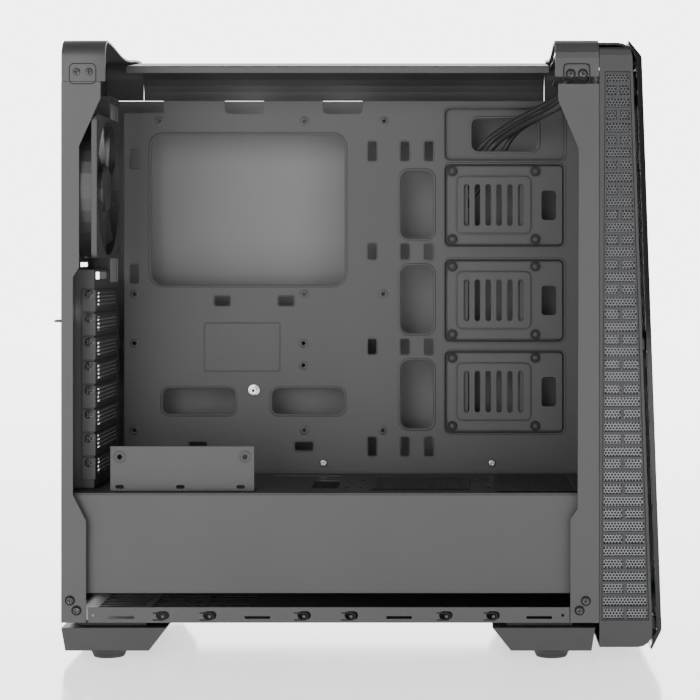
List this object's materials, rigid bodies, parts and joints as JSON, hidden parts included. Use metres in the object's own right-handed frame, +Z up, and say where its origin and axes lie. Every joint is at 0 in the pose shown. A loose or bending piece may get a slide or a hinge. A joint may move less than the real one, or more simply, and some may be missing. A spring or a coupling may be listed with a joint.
{
  "type": "desktop computer tower",
  "caption": "Mid-tower computer case with its left window off, showing the board tray, drive trays, lower shroud, rear fan and slanted grille front.",
  "frame": {"origin": "centre of the bounding box's base, on the floor under the feet", "axes": "+X towards the front panel, +Y towards the closed right side, +Z up"},
  "size_m": [0.5059, 0.22, 0.514],
  "materials": {
    "black_steel": "fine textured black powder coat",
    "mesh_steel": "black perforated sheet",
    "matte_plastic": "matte black moulding",
    "gloss_plastic": "polished black",
    "socket_plastic": "plain black",
    "board": "green lacquered board",
    "cable": "black sheath",
    "rubber": "soft black",
    "zinc": "zinc plate"
  },
  "bodies": {
    "chassis": {"audio_jack_1": "socket_plastic", "audio_jack_2": "socket_plastic", "audio_lead": "cable", "audio_plug": "socket_plastic", "bottom_rail": "black_steel", "centre_standoff": "zinc", "floor_pan": "black_steel", "front_cap": "black_steel", "front_foot": "matte_plastic", "front_pad_left": "rubber", "front_pad_right": "rubber", "front_post": "black_steel", "front_wall": "black_steel", "io_board": "board", "io_panel": "matte_plastic", "lead_clip_1": "matte_plastic", "lead_clip_2": "matte_plastic", "motherboard_tray": "black_steel", "psu_shroud": "black_steel", "pump_bracket": "black_steel", "rear_cap": "black_steel", "rear_fan_frame": "matte_plastic", "rear_foot": "matte_plastic", "rear_pad_left": "rubber", "rear_pad_right": "rubber", "rear_panel": "black_steel", "rear_post": "black_steel", "slot_cover_1": "black_steel", "slot_cover_2": "black_steel", "slot_cover_3": "black_steel", "slot_cover_4": "black_steel", "slot_cover_5": "black_steel", "slot_cover_6": "black_steel", "slot_cover_7": "black_steel", "slot_cover_8": "black_steel", "switch_lead": "cable", "switch_plug": "socket_plastic", "top_panel": "black_steel", "usb_lead": "cable", "usb_plug": "socket_plastic", "usb_port_1": "socket_plastic", "usb_port_2": "socket_plastic"},
    "fan_rotor": {"rear_fan_rotor": "matte_plastic"},
    "power_button": {"power_button": "matte_plastic"},
    "reset_button": {"reset_button": "matte_plastic"},
    "front_panel": {"front_bezel": "matte_plastic", "side_grille_left": "matte_plastic", "side_grille_right": "matte_plastic", "side_mesh_left": "mesh_steel", "side_mesh_right": "mesh_steel", "front_plate": "gloss_plastic", "front_dust_filter": "matte_plastic"},
    "side_panel": {"right_side_panel": "black_steel"},
    "lower_thumbscrew": {"side_thumbscrew_lower": "zinc"},
    "upper_thumbscrew": {"side_thumbscrew_upper": "zinc"},
    "slot_door": {"slot_door": "black_steel"},
    "drive_tray_1": {"drive_tray_1": "black_steel"},
    "drive_tray_2": {"drive_tray_2": "black_steel"},
    "drive_tray_3": {"drive_tray_3": "black_steel"},
    "psu_filter": {"psu_dust_filter": "matte_plastic"}
  },
  "joints": [
    {"name": "fan_spin", "type": "hinge", "parent": "chassis", "child": "fan_rotor", "pos_m": [-0.2257, -0.0474, 0.3922], "axis": [1, 0, 0], "continuous": true},
    {"name": "power_press", "type": "slide", "parent": "chassis", "child": "power_button", "axis": [0, 0, -1], "range_m": [0, 0.0015], "stiffness_N_per_m": 400, "springref_m": -0.0005},
    {"name": "reset_press", "type": "slide", "parent": "chassis", "child": "reset_button", "axis": [0, 0, -1], "range_m": [0, 0.0015], "stiffness_N_per_m": 300, "springref_m": -0.0005},
    {"name": "front_panel_slide", "type": "slide", "parent": "chassis", "child": "front_panel", "axis": [1, 0, 0], "range_m": [0, 0.03]},
    {"name": "side_panel_slide", "type": "slide", "parent": "chassis", "child": "side_panel", "axis": [-1, 0, 0], "range_m": [0, 0.025]},
    {"name": "lower_thumbscrew_turn", "type": "hinge", "parent": "side_panel", "child": "lower_thumbscrew", "pos_m": [-0.2428, 0.1028, 0.0946], "axis": [1, 0, 0], "continuous": true},
    {"name": "upper_thumbscrew_turn", "type": "hinge", "parent": "side_panel", "child": "upper_thumbscrew", "pos_m": [-0.2428, 0.1028, 0.4404], "axis": [1, 0, 0], "continuous": true},
    {"name": "slot_door_swing", "type": "hinge", "parent": "chassis", "child": "slot_door", "pos_m": [-0.2425, -0.0977, 0.2334], "axis": [0, 0, 1], "range_deg": [0, 100]},
    {"name": "psu_filter_slide", "type": "slide", "parent": "chassis", "child": "psu_filter", "axis": [-1, 0, 0], "range_m": [0, 0.16]},
    {"name": "drive_tray_1_slide", "type": "slide", "parent": "chassis", "child": "drive_tray_1", "axis": [0, -1, 0], "range_m": [0, 0.12]},
    {"name": "drive_tray_2_slide", "type": "slide", "parent": "chassis", "child": "drive_tray_2", "axis": [0, -1, 0], "range_m": [0, 0.12]},
    {"name": "drive_tray_3_slide", "type": "slide", "parent": "chassis", "child": "drive_tray_3", "axis": [0, -1, 0], "range_m": [0, 0.12]}
  ]
}
